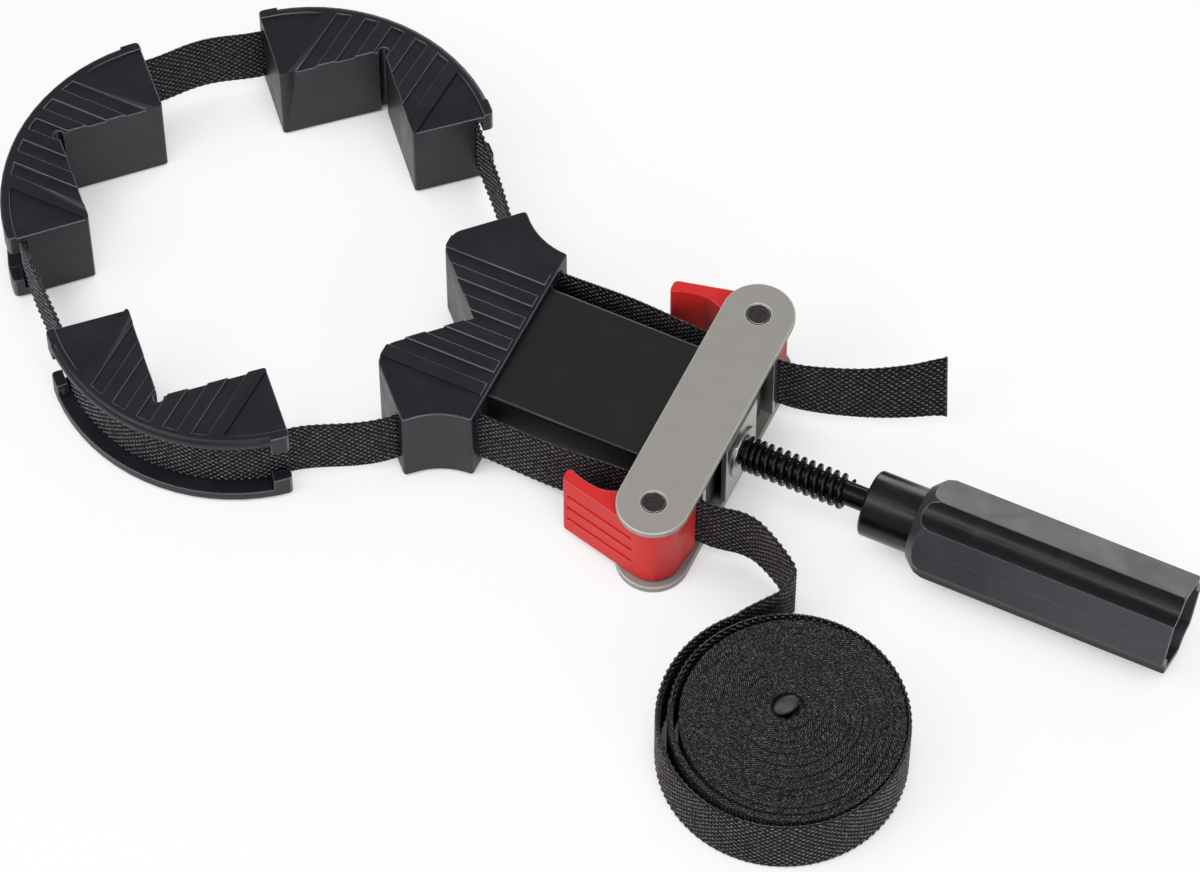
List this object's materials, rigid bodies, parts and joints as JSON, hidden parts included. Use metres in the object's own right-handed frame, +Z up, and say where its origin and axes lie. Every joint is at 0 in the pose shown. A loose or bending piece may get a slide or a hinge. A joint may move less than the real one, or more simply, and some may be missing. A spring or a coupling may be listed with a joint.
{
  "type": "ratchet band clamp",
  "caption": "Band clamp: a screw pusher with a V head and loose L-shaped corner jaws on a long flat strap, held by sprung cam levers between two plates.",
  "frame": {"origin": "underside of the lower frame plate, midway between the two lever pins, under the spindle axis", "axes": "+X along the spindle towards the handle, +Y towards the free end of the strap, +Z up from the bench that the clamp lies on"},
  "size_m": [0.4189, 0.2255, 0.035],
  "materials": {
    "black_plastic": "satin near-black moulding",
    "black_shank": "smooth black",
    "grey_plastic": "dark grey moulding",
    "red_plastic": "satin red moulding",
    "grey_paint": "warm grey, fine texture",
    "bright_steel": "zinc plated",
    "dark_steel": "dark burnished",
    "black_steel": "black oxide",
    "webbing": "woven dark grey band"
  },
  "bodies": {
    "frame": {"frame_bottom_plate": "grey_paint", "frame_top_plate": "grey_paint", "pivot_pin_left": "dark_steel", "pivot_pin_right": "dark_steel", "anvil_plate_left": "bright_steel", "anvil_plate_right": "bright_steel", "nut_bracket": "bright_steel", "spindle_nut": "dark_steel", "lever_spring_left": "bright_steel", "lever_spring_right": "bright_steel", "spindle_spring": "black_steel", "strap_run_left": "webbing", "strap_run_right": "webbing", "strap_gripped_left": "webbing", "strap_gripped_right": "webbing", "strap_tail": "webbing", "strap_lead": "webbing", "strap_roll": "webbing"},
    "pusher": {"pusher_head": "black_plastic", "pusher_shank": "black_shank", "thrust_washer": "bright_steel", "strap_guided_left": "webbing", "strap_guided_right": "webbing", "strap_span_back": "webbing", "strap_span_front": "webbing"},
    "spindle": {"spindle": "black_steel", "spindle_clip": "bright_steel", "handle": "grey_plastic"},
    "jaw_back": {"corner_jaw_back": "black_plastic", "strap_wrap_back": "webbing", "strap_span_far_back": "webbing"},
    "jaw_far": {"corner_jaw_far": "black_plastic", "strap_wrap_far": "webbing", "strap_span_far_front": "webbing"},
    "jaw_front": {"corner_jaw_front": "black_plastic", "strap_wrap_front": "webbing"},
    "lever_left": {"cam_lever_left": "red_plastic"},
    "lever_right": {"cam_lever_right": "red_plastic"}
  },
  "joints": [
    {"name": "pusher_travel", "type": "slide", "parent": "frame", "child": "pusher", "axis": [-1, 0, 0], "range_m": [0, 0.015], "deforming": ["strap_run_left", "strap_run_right", "spindle_spring"]},
    {"name": "handle_turn", "type": "hinge", "parent": "pusher", "child": "spindle", "pos_m": [0, 0, 0.0175], "axis": [-1, 0, 0], "range_deg": [0, 4320]},
    {"name": "jaw_back_draw", "type": "slide", "parent": "pusher", "child": "jaw_back", "axis": [0.7071, -0.7071, 0], "range_m": [0, 0.0075], "deforming": ["strap_span_back"]},
    {"name": "jaw_far_draw", "type": "slide", "parent": "jaw_back", "child": "jaw_far", "axis": [0.7071, 0.7071, 0], "range_m": [0, 0.0075], "deforming": ["strap_span_far_back", "strap_span_far_front"]},
    {"name": "jaw_front_draw", "type": "slide", "parent": "pusher", "child": "jaw_front", "axis": [0.7071, 0.7071, 0], "range_m": [0, 0.0075], "deforming": ["strap_span_front"]},
    {"name": "lever_left_release", "type": "hinge", "parent": "frame", "child": "lever_left", "pos_m": [0, 0.04, 0.0175], "axis": [0, 0, 1], "range_deg": [0, 12], "stiffness_Nm_per_rad": 0.2, "springref_deg": -28.65, "deforming": ["lever_spring_left"]},
    {"name": "lever_right_release", "type": "hinge", "parent": "frame", "child": "lever_right", "pos_m": [0, -0.04, 0.0175], "axis": [0, 0, -1], "range_deg": [0, 12], "stiffness_Nm_per_rad": 0.2, "springref_deg": -28.65, "deforming": ["lever_spring_right"]}
  ],
  "couplings": [
    {"joint": "handle_turn", "follows": "pusher_travel", "rad_per_m": 5026.5},
    {"joint": "jaw_back_draw", "follows": "pusher_travel", "ratio": 0.5},
    {"joint": "jaw_far_draw", "follows": "pusher_travel", "ratio": 0.5},
    {"joint": "jaw_front_draw", "follows": "pusher_travel", "ratio": 0.5}
  ]
}
